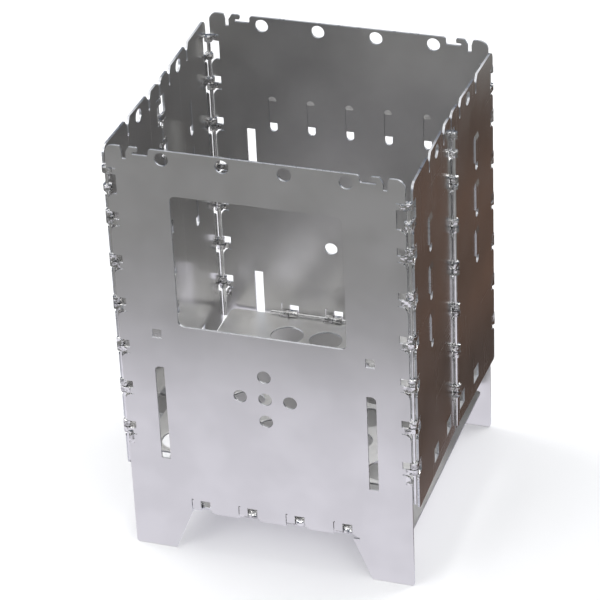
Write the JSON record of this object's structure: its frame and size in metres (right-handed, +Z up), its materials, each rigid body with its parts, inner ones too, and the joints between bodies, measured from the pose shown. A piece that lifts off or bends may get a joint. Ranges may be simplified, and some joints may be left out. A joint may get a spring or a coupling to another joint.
{
  "type": "rocket stove",
  "caption": "Folding box stove of stainless sheet: feed window, slotted walls with middle hinges, swing-up grate and ash plate, cut-out feet and hooked top edge.",
  "frame": {"origin": "on the ground, in the middle of the footprint", "axes": "+Z up, +Y from the front panel with the feed window to the back panel, +X to the right seen from the front"},
  "size_m": [0.1292, 0.1225, 0.1905],
  "materials": {
    "panel_steel": "bright rolled stainless sheet with fine scratches",
    "wall_steel": "bright rolled stainless sheet with fine scratches",
    "plate_steel": "bright rolled stainless sheet with fine scratches",
    "hinge_wire": "drawn bright stainless wire"
  },
  "bodies": {
    "front": {"front_panel": "panel_steel", "rod_front_left": "hinge_wire", "rod_front_right": "hinge_wire", "ash_rod": "hinge_wire"},
    "left_front": {"left_wall_front": "wall_steel", "rod_middle_left": "hinge_wire"},
    "left_rear": {"left_wall_rear": "wall_steel"},
    "back": {"back_panel": "panel_steel", "rod_rear_left": "hinge_wire", "rod_rear_right": "hinge_wire", "grate_rod": "hinge_wire"},
    "right_front": {"right_wall_front": "wall_steel", "rod_middle_right": "hinge_wire"},
    "right_rear": {"right_wall_rear": "wall_steel"},
    "grate": {"grate": "plate_steel"},
    "ash": {"ash_plate": "plate_steel"}
  },
  "joints": [
    {"name": "box_fold", "type": "hinge", "parent": "front", "child": "left_front", "pos_m": [-0.0616, -0.0592, 0.11], "axis": [0, 0, -1], "range_deg": [-1.3, 2.6]},
    {"name": "left_middle_fold", "type": "hinge", "parent": "left_front", "child": "left_rear", "pos_m": [-0.06285, 0, 0.11], "axis": [0, 0, 1], "range_deg": [-2.6, 5.2]},
    {"name": "left_rear_fold", "type": "hinge", "parent": "left_rear", "child": "back", "pos_m": [-0.0616, 0.0592, 0.11], "axis": [0, 0, -1], "range_deg": [-1.3, 2.6]},
    {"name": "right_front_fold", "type": "hinge", "parent": "front", "child": "right_front", "pos_m": [0.0616, -0.0592, 0.11], "axis": [0, 0, 1], "range_deg": [-1.3, 2.6]},
    {"name": "right_middle_fold", "type": "hinge", "parent": "right_front", "child": "right_rear", "pos_m": [0.06285, 0, 0.11], "axis": [0, 0, -1], "range_deg": [-2.6, 5.2]},
    {"name": "grate_fold", "type": "hinge", "parent": "back", "child": "grate", "pos_m": [0, 0.0592, 0.046], "axis": [-1, 0, 0], "range_deg": [0, 90]},
    {"name": "ash_plate_fold", "type": "hinge", "parent": "front", "child": "ash", "pos_m": [0, -0.0592, 0.0222], "axis": [1, 0, 0], "range_deg": [0, 10]}
  ],
  "couplings": [
    {"joint": "left_middle_fold", "follows": "box_fold", "ratio": 2},
    {"joint": "left_rear_fold", "follows": "box_fold", "ratio": 1},
    {"joint": "right_front_fold", "follows": "box_fold", "ratio": 1},
    {"joint": "right_middle_fold", "follows": "box_fold", "ratio": 2}
  ]
}
